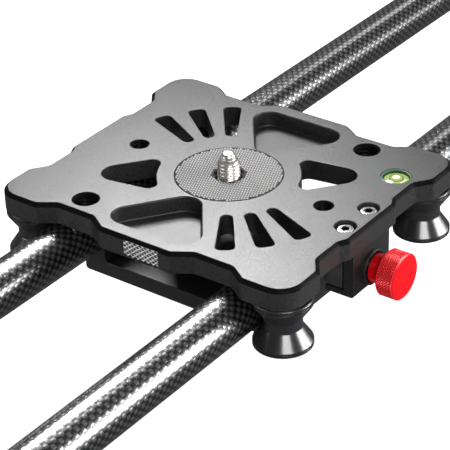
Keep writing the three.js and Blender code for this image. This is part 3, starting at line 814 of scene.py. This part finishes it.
def socket_head(name, r, z0, z1, socket, depth, body, finish, place, replaces,
                edge=0.35, head_up=True, inside=None):
    """Round screw head with a hexagon socket; inside is the finish of the socket, when it is another."""
    bm = bmesh.new()
    mouth = hexagon(socket)
    rings = [(offset(mouth, -0.15), z1), (mouth, z1 - 0.15), (mouth, z1 - depth)]
    milled(bm, circle(r), z0, z1, edge, 0.12, [opening(rings, floor=True, index=1 if inside else 0)])
    if not head_up:
        place = place @ Matrix.Translation((0, 0, z0 + z1)) @ Matrix.Rotation(math.pi, 4, "X")
    finished(bm, name, body, [finish, inside] if inside else finish, replaces, place, crease=30)


def roller_bolt(corner, place, steel, dark):
    node = "roller_bolt_" + corner
    z0, z1 = low(node).z, high(node).z
    socket_head("bolt_head_" + corner, 5.5, z0, z0 + 2.5, 4, 1.6, "carriage", dark, place,
                node, head_up=False)
    shank = [(0, z0 + 2.4), (3.5, z0 + 2.4), (3.5, PLATE_BOTTOM - 0.1), (3, PLATE_BOTTOM), (3, z1), (0, z1)]
    turned("bolt_shoulder_" + corner, shank, "carriage", steel, place, node, 48)


# ---------------------------------------------------------------- lock


def lock_block(finish):
    """C-shaped block under the plate's edge, open towards the rod, with a boss round the knob's neck."""
    lo, hi = low("lock_block"), high("lock_block")
    face, wall, inner, roof, floor = -68.3, -63.7, hi.y, TOP - 13, TOP - 26.3
    section = rounded([(inner, hi.z, 0.1), (inner, roof, 0.3), (wall, roof, 0.6), (wall, floor, 0.6),
                       (inner, floor, 0.3), (inner, lo.z, 0.6), (face, lo.z, 0.9), (face, hi.z, 0.1)], 4)
    bm = bmesh.new()
    milled(bm, anticlockwise(section), lo.x, hi.x, 0.4, 0.4)
    block = finished(bm, "lock_block_body", "carriage", finish, "lock_block", ACROSS_X,
                     crease=28)
    axis = along_minus_y(middle("lock_knob").z)
    screw_hole, spindle_hole, seat, boss_r = 2.2, 3.3, 6.4, 7.6
    cut(block, (peg(spindle_hole, -wall - 1, -face + 1), axis), (peg(seat, -face - 0.4, -face + 1), axis),
        *[(peg(screw_hole, roof - 1, TOP), at(x, LOCK_SCREW_Y)) for x in (-LOCK_SCREW_X, LOCK_SCREW_X)])
    bore, foot = seat + 0.02, -face - 0.35
    boss = fillet([(bore, foot, 0.1), (boss_r, foot, 0.05), (boss_r, -lo.y, 0.5), (bore, -lo.y, 0.3)],
                  closed=True)
    turned("lock_block_boss", boss, "carriage", finish, axis, "lock_block", 72)


def lock_screws(steel, dark):
    for side, x in (("left", -LOCK_SCREW_X), ("right", LOCK_SCREW_X)):
        node = "lock_screw_" + side
        place = at(x, LOCK_SCREW_Y)
        z0, z1 = low(node).z, high(node).z
        # painted shade: the hexagon socket inside each head gets the dark steel, darker than the head's own
        # steel
        socket_head("lock_screw_head_" + side, 3.4, z1 - 3, z1, 3, 2, "carriage", steel, place, node,
                    0.5, inside=dark)
        turned("lock_screw_shank_" + side, peg(2, z0, z1 - 2.9), "carriage", dark, place, node, 32)


def brake(plastic, rubber):
    """The shoe inside the block, and its rubber pad."""
    shoe = ("brake_shoe_body", "brake_shoe", plastic, "black_plastic", 0.8, 0.4)
    pad = ("brake_pad_face", "brake_pad", rubber, "rubber", 1, 0.3)
    for name, node, finish, slot, r, edge in (shoe, pad):
        lo, hi = low(node), high(node)
        outline = rounded([(hi.x, hi.z, r), (lo.x, hi.z, r), (lo.x, lo.z, r), (hi.x, lo.z, r)], 5)
        bm = bmesh.new()
        milled(bm, anticlockwise(outline), -hi.y, -lo.y, edge, edge)
        finished(bm, name, "lock_shoe", finish, node, along_minus_y())


def lock_knob(red, steel):
    """Red knob with a diamond knurl and a neck, and the spindle inside it."""
    c, lo, hi = middle("lock_knob"), low("lock_knob"), high("lock_knob")
    face, back, root, r, neck = -lo.y, 75.8, -hi.y, hi.x, 6
    axis = along_minus_y(c.z)
    teeth, pitch, edge = 56, 1.15, 0.55

    def diamonds(q, z, a):
        if q < r - 0.01 or not back + 0.45 < z < face - 0.45:
            return q
        t = teeth * a / (2 * math.pi)
        return q - KNURL_DEPTH * max(1 - saw(t + z / pitch), 1 - saw(t - z / pitch))

    profile = [(0, root), (neck - 0.2, root), (neck, root + 0.2), (neck, back - 0.8)]
    profile += [(neck + 0.3, back - 0.25), (neck + 0.9, back), (r - edge, back), (r - 0.02, back + edge)]
    profile += fine([(r, back + edge + 0.02), (r, face - edge - 0.02)], pitch / 7)
    profile += [(r - 0.05, face - edge), (r - edge, face - 0.06), (r - edge - 0.25, face), (r - 1.1, face),
                (r - 1.3, face - 0.08), (r - 1.5, face), (r / 2, face), (0, face)]
    turned("knob_knurled", profile, "lock_knob", red, axis, "lock_knob", teeth * 8, diamonds,
           crease=35)
    lo, hi = low("lock_spindle"), high("lock_spindle")
    turned("spindle_steel", peg(3, -hi.y, -lo.y), "lock_knob", steel, axis, "lock_spindle", 48)


# ---------------------------------------------------------------- rods and what is on them


def outwards(sx):
    """Z runs along X, away from the middle at the end whose side is sx."""
    return Matrix.Rotation(0 if sx > 0 else math.pi, 4, "Z") @ ACROSS_X


def rods(weave, steel, plastic, dark, rubber):
    inner = ROD_R - ROD_WALL - 0.1
    edge = 0.15
    for side, sy in SIDES:
        y = sy * ROD_Y
        place = along_x(y, ROD.z)
        outer = [(ROD_R - edge, -ROD_END)]
        outer += [(ROD_R, -ROD_END + edge + (2 * ROD_END - 2 * edge) * k / 60) for k in range(61)]
        outer += [(ROD_R - edge, ROD_END)]
        profile = outer + [(ROD_R - ROD_WALL, ROD_END), (ROD_R - ROD_WALL, -ROD_END), outer[0]]
        bm = bmesh.new()
        lathe(bm, profile, 128)
        tube = finished(bm, "carbon_tube_" + side, "frame", weave, "rod_" + side, place)
        holes = [(peg(2.7, 5, 12), at(sx * END_X, y, ROD.z)) for _, sx in ENDS]
        holes += [(peg(2.5, -12, -5), at(sx * BRACKET_SCREW_X, y, ROD.z)) for _, sx in ENDS]
        cut(tube, *holes)
        insert = fillet([(0, -36, 0), (inner, -36, 0.5), (inner, 36, 0.5), (0, 36, 0)])
        slug = turned("tube_insert_" + side, insert, "frame", steel, place, "rod_insert_" + side, 48)
        cut(slug, *[(peg(2.3, -9, -1), at(sx * BRACKET_SCREW_X, y, ROD.z)) for _, sx in ENDS])
        for end, sx in ENDS:
            rod_end(side + "_" + end, sx, y, inner, plastic, dark, rubber)


def rod_end(where, sx, y, inner, plastic, dark, rubber):
    """Plug, set screw and rubber stop at one end of a rod."""
    facing = Matrix.Translation((0, y, ROD.z)) @ outwards(sx)
    rim, start, lip, dish = ROD_R - 0.1, ROD_END + 0.1, ROD_END + 2.6, ROD_END + 2.0
    plug = fillet([(0, ROD_END - 20, 0), (inner, ROD_END - 20, 0.5), (inner, start, 0.05), (rim, start, 0.1),
                   (rim, lip, 0.8), (7.2, lip, 0.3), (6.8, dish, 0.3), (0, dish, 0)])
    piece = turned("end_plug_" + where, plug, "frame", plastic, facing,
                   "rod_plug_" + where, 72)
    cut(piece, (peg(2.6, 4, 12), at(sx * END_X, y, ROD.z)))
    screw, stop = "set_screw_" + where, "bumper_" + where
    socket_head("grub_screw_" + where, 2.35, low(screw).z, high(screw).z, 2, 2, "frame", dark,
                at(sx * END_X, y), screw, 0.3)
    x0, x1 = sorted((low(stop).x * sx, high(stop).x * sx))
    bore, dip, crest = 10.15, 13.2, 14
    waves = [(bore, x0 + 0.3, 0.3), (dip, x0, 0.9), (crest, x0 + 1.2, 0.8), (crest, x0 + 3.1, 0.4),
             (dip, x0 + 3.5, 0.3), (dip, x0 + 4.3, 0.3), (crest, x0 + 4.7, 0.4), (crest, x0 + 6.9, 0.4),
             (dip, x0 + 7.3, 0.3), (dip, x1 - 0.9, 0.3), (crest, x1 - 0.6, 0.2), (crest, x1, 0.2),
             (bore, x1, 0.3)]
    turned("rubber_stop_" + where, fillet(waves, closed=True), "frame", rubber, facing, stop, 72)


def end_blocks(finish):
    bottom = TOP - 36
    for end, sx in ENDS:
        node = "end_block_" + end
        lo, hi = low(node), high(node)
        half = [(52, hi.z, 8), (62, TOP - 24, 8), (99, TOP - 27, 3), (99, lo.z, 3), (70, lo.z, 6),
                (56, bottom, 6)]
        outline = anticlockwise(rounded(half + [(-y, z, r) for y, z, r in reversed(half)], 8))
        inner, outer = sorted((abs(lo.x), abs(hi.x)))
        recess = anticlockwise(rounded([(24, TOP - 12, 4), (24, TOP - 30, 4), (-24, TOP - 30, 4),
                                        (-24, TOP - 12, 4)], 8))
        holes = [hole(circle(ROD_BORE, sy * ROD_Y, ROD.z, 96), inner, outer, 0.5) for _, sy in SIDES]
        holes.append(opening([(offset(recess, -0.6), outer), (offset(recess, -0.15), outer - 0.25),
                              (recess, outer - 0.7), (recess, outer - 5.2),
                              (offset(recess, 0.25), outer - 5.75), (offset(recess, 0.8), outer - 6)],
                             floor=True))
        bm = bmesh.new()
        milled(bm, outline, inner, outer, 0.8, 0.8, holes)
        block = finished(bm, "end_block_body_" + end, "frame", finish, node, outwards(sx),
                         crease=28)
        tools = []
        for _, sy in SIDES:
            tools += [(peg(2.5, ROD.z + 5, hi.z + 2), at(sx * END_X, sy * ROD_Y)),
                      (peg(4.25, TOP - 40, TOP - 20), at(sx * END_X, sy * FOOT_Y))]
        thread = [(0, bottom - 1), (4.6, bottom - 1), (4, bottom + 0.6), (4, bottom + 12), (0, bottom + 12)]
        tools.append((thread, at(sx * (inner + 11), 0)))
        cut(block, *tools)


def feet(steel, rubber):
    """Rubber pads, and the knurled screws that they hang on."""
    pitch, r, teeth = 1.25, 4, 40
    wheel, wheel_bottom, wheel_top = 9.5, 12, 20

    def shape(q, z, a):
        if q > wheel - 0.2:
            return q - 0.5 * tooth_cut(a, teeth)
        if r - 0.1 < q < r + 0.01 and wheel_top + 0.5 < z:
            return q - 0.55 * thread_cut(z, a, pitch)
        return q

    for corner in CORNERS:
        pad, screw = "foot_pad_" + corner, "foot_screw_" + corner
        c = middle(screw)
        place = at(c.x, c.y)
        z1 = high(pad).z
        sole = fillet([(0, 0.5, 0), (9, 0.5, 0.2), (9.6, 0, 0.3), (12.3, 0, 0.4), (13, 0.9, 0.5),
                       (12.7, 2.6, 0.3), (12.2, 2.9, 0.3), (12.1, 3.6, 0.3), (12.4, 4, 0.3), (11.5, z1, 0.9),
                       (0, z1, 0)])
        turned("rubber_foot_" + corner, sole, pad, rubber, place, pad, 72)
        z0, top = low(screw).z, high(screw).z
        rows = int((top - 1.6 - wheel_top) / pitch * 6)
        stem = [(r, wheel_top + 0.6 + k * pitch / 6) for k in range(rows)]
        body = fillet([(0, z0, 0), (5.6, z0, 0.3), (6, z0 + 0.5, 0.3), (6, wheel_bottom, 0.3),
                       (wheel, wheel_bottom, 0.7), (wheel, wheel_top, 0.7), (4.4, wheel_top, 0.2),
                       (r, wheel_top + 0.3, 0)])
        profile = body + stem + [(3.4, top - 0.8), (2.9, top), (0, top)]
        turned("foot_screw_turned_" + corner, profile, screw, steel, place, screw, teeth * 4, shape,
               crease=45)


# ---------------------------------------------------------------- centre bracket


def centre_bracket(finish, dark):
    lo, hi = low("centre_bracket"), high("centre_bracket")
    y, bottom, bar, saddle_y = hi.y, TOP - 41.8, TOP - 34.9, 36.6
    tripod_hole, side_hole, side_x, disc_r = 4, 2.7, 18, 30
    screw_hole, counterbore = 2.3, 4.2

    def saddle_angle(at_y):
        return math.atan2(-math.sqrt(ROD_BORE ** 2 - (at_y - ROD_Y) ** 2), at_y - ROD_Y)

    def arc(s):
        """The saddle under one rod, from the outer side inwards for s = 1."""
        a0, a1 = saddle_angle(y), saddle_angle(saddle_y)
        turns = [a0 + (a1 - a0) * k / 12 for k in range(13)]
        points = [(s * (ROD_Y + ROD_BORE * math.cos(a)), ROD.z + ROD_BORE * math.sin(a), 0) for a in turns]
        return points if s > 0 else points[::-1]

    corners = [(y, bottom, 1.6)] + arc(1) + [(saddle_y, bar, 1.0), (-saddle_y, bar, 1.0)] + arc(-1)
    outline = anticlockwise(rounded(corners + [(-y, bottom, 1.6)], 6))
    bm = bmesh.new()
    milled(bm, outline, lo.x, hi.x, 0.5, 0.5)
    bracket = finished(bm, "bracket_body", "frame", finish, "centre_bracket", ACROSS_X,
                       crease=28)
    tools = [(peg(tripod_hole, bottom - 1, bar + 1), at(0, 0))]
    tools += [(peg(side_hole, bottom - 1, bar + 1), at(sx * side_x, 0)) for _, sx in ENDS]
    for _, sx in ENDS:
        for _, sy in SIDES:
            place = at(sx * BRACKET_SCREW_X, sy * ROD_Y)
            tools += [(peg(screw_hole, bottom - 1, ROD.z - 8), place),
                      (peg(counterbore, bottom - 1, bottom + 4.2), place)]
    cut(bracket, *tools)
    roof = bottom - 0.02
    face = fillet([(tripod_hole, lo.z, 0.4), (disc_r, lo.z, 0.5), (disc_r, roof, 0.05),
                   (tripod_hole, roof, 0.05)], closed=True)
    disc = turned("bracket_tripod_face", face, "frame", finish, at(0, 0), "centre_bracket",
                  128)
    cut(disc, *[(peg(side_hole, lo.z - 1, bottom + 1), at(sx * side_x, 0)) for _, sx in ENDS])
    for corner in CORNERS:
        node = "bracket_screw_" + corner
        c, z0, z1 = middle(node), low(node).z, high(node).z
        place = at(c.x, c.y)
        socket_head("bracket_bolt_head_" + corner, 3.7, z0, z0 + 3.7, 3, 2, "frame", dark, place,
                    node, head_up=False)
        turned("bracket_bolt_shank_" + corner, peg(2, z0 + 3.6, z1), "frame", dark, place,
               node, 32)


# ---------------------------------------------------------------- build

anodised = blasted("anodised_black", (0.003, 0.003, 0.003), (0.032, 0.032, 0.033), 0.355, 1.46, 0.095, 0.42)
frame_black = blasted("anodised_frame", (0.003, 0.003, 0.003), (0.022, 0.022, 0.023), 0.40, 1.40, 0.075, 0.42)
stainless = polished("stainless", (0.86, 0.82, 0.76), 0.32)
dark_steel = polished("steel_black", (0.10, 0.10, 0.105), 0.32)
bearing_steel = polished("steel_bearing", (0.60, 0.60, 0.61), 0.2)
# painted shade: the plate's chamfer gets a darker black that reflects little, so it reads as the black band of
# shade along the top edge
chamfer_painted_shade = blasted("chamfer_painted_shade", (0.002, 0.002, 0.002), (0.006, 0.006, 0.006), 0.34, 1.12, 0.02, 0.6)
worn_edge = polished("worn_edge", (0.80, 0.80, 0.80), 0.45)
pit = polished("knurl_pit", (0.16, 0.16, 0.165), 0.5)
gloss = lacquered("roller_gloss", (0.010, 0.010, 0.011), 0.24)
black_rubber = rubbery("rubber_black", (0.016, 0.016, 0.016), 0.75, 0.25)
plastic = rubbery("plastic_black", (0.02, 0.02, 0.021), 0.5, 0.4)
stud_rubber = pad_rubber("stud_rubber", (0.26, 0.26, 0.26), (0.34, 0.34, 0.34), 0.26, 0.8)
base_rubber = pad_rubber("pad_rubber", (0.015, 0.015, 0.015), (0.025, 0.025, 0.025), 0.7, 0.25)
red = knob_red(middle("lock_knob"), high("lock_knob").x)

carriage_plate(anodised, chamfer_painted_shade)
edge_grip(pit, worn_edge)
camera_pad(base_rubber, stud_rubber)
camera_screw(stainless, frame_black)
bubble_level(level_green(), vial_liquid(), level_mark("level_line", (0.01, 0.01, 0.01), 0.3),
             level_mark("level_air", (0.70, 0.78, 0.45), 0.05))
rollers(gloss, bearing_steel, dark_steel)
lock_block(frame_black)
lock_screws(bearing_steel, dark_steel)
brake(plastic, black_rubber)
lock_knob(red, bearing_steel)
rods(carbon(), bearing_steel, plastic, dark_steel, black_rubber)
end_blocks(frame_black)
feet(bearing_steel, black_rubber)
centre_bracket(frame_black, dark_steel)


# ---------------------------------------------------------------- floor, light, camera


def floor():
    look = Look("floor_paper")
    look.put("Base Color", look.colours(look.noise(900, 2), (0.30, 0.30, 0.30), (0.31, 0.31, 0.31)))
    look.put("Roughness", 0.9)
    look.put("Emission Color", (1, 1, 1, 1)).put("Emission Strength", 0.90)
    bm = bmesh.new()
    bmesh.ops.create_grid(bm, x_segments=1, y_segments=1, size=6)
    data = bpy.data.meshes.new("floor")
    bm.to_mesh(data)
    bm.free()
    data.materials.append(look.material)
    obj = add("floor", data)
    obj.visible_glossy = False      # black parts stay black over white paper


def softbox(name, place, aim, width, height, power):
    lamp = bpy.data.lights.new(name, "AREA")
    lamp.shape, lamp.size, lamp.size_y, lamp.energy = "RECTANGLE", width, height, power
    obj = add(name, lamp)
    obj.location = place
    obj.rotation_euler = (Vector(aim) - Vector(place)).to_track_quat("-Z", "Y").to_euler()
    obj.visible_camera = False


def camera():
    """The camera that was fitted to the photo's plate and rods, in metres."""
    lens = bpy.data.cameras.new("camera")
    lens.lens, lens.sensor_width, lens.clip_start = 158.41, 36, 0.05
    obj = add("camera", lens)
    place = Vector((-0.55874, -0.41833, 0.46077))
    forward = Vector((0.68657, 0.51741, -0.51079)).normalized()
    right = Vector((0.58955, -0.80733, -0.02536))
    up = right.cross(forward)
    right, up = right.normalized(), up.normalized()
    obj.matrix_world = Matrix.Translation(place) @ Matrix((right, up, -forward)).transposed().to_4x4()
    bpy.context.scene.camera = obj

floor()
world = bpy.data.worlds.new("studio")
world.use_nodes = True
world.node_tree.nodes["Background"].inputs["Color"].default_value = (1, 1, 1, 1)
world.node_tree.nodes["Background"].inputs["Strength"].default_value = 0.10
bpy.context.scene.world = world
bpy.context.scene.view_settings.view_transform = "Standard"
left, right, middle_low = (-0.12, -0.04, 0.05), (0.2, 0.04, 0.05), (0, 0, 0.05)   # what the lights aim at
softbox("key", (0.20, 0.20, 0.41), (-0.08, -0.02, 0.07), 0.17, 0.17, 4.5)
softbox("overhead_strip", (0.45, 0.0, 0.86), left, 0.05, 0.7, 1.1)
softbox("front_right", (0.47, -0.74, 0.26), left, 0.55, 0.40, 12)
softbox("far_top", (1.21, 0.20, 0.85), right, 0.30, 0.30, 1.0)
softbox("far_low", (1.13, -0.71, 0.16), right, 0.30, 0.25, 1.0)
softbox("camera_side", (-0.50, -0.62, 0.60), middle_low, 0.5, 0.3, 6.0)
softbox("left_low", (-0.75, 0.55, 0.14), middle_low, 0.6, 0.24, 2.5)
camera()
